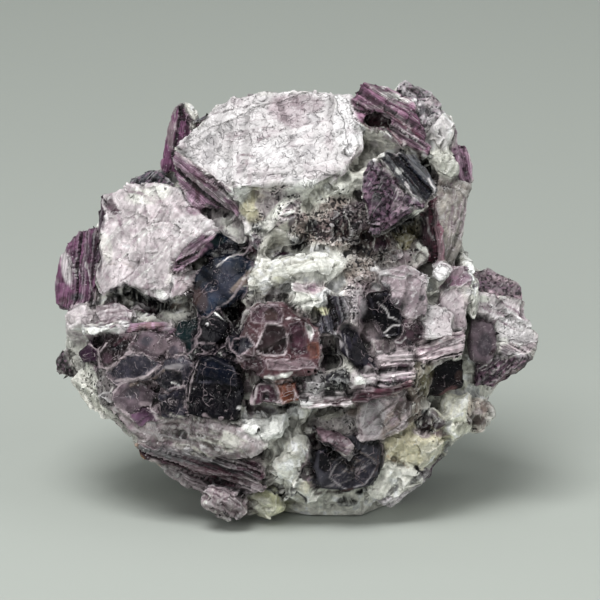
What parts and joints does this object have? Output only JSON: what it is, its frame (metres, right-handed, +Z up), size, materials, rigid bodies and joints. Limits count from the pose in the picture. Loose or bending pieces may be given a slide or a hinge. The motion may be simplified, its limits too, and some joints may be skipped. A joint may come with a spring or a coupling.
{
  "type": "raw lepidolite specimen",
  "caption": "Rough lump of lilac to dark purple mica books grown through pale feldspar, resting on a flat underside.",
  "frame": {"origin": "centre of the box round the stone, at the level of its flat underside", "axes": "+Z up as it stands, +X to the right along its widest way, the silvery face and dark plates look to -Y"},
  "size_m": [0.0719, 0.0532, 0.0645],
  "materials": {
    "lepidolite": "pearly lilac and near-black mica in pale green-white feldspar"
  },
  "bodies": {
    "root": {"lepidolite_specimen": "lepidolite"}
  },
  "joints": []
}
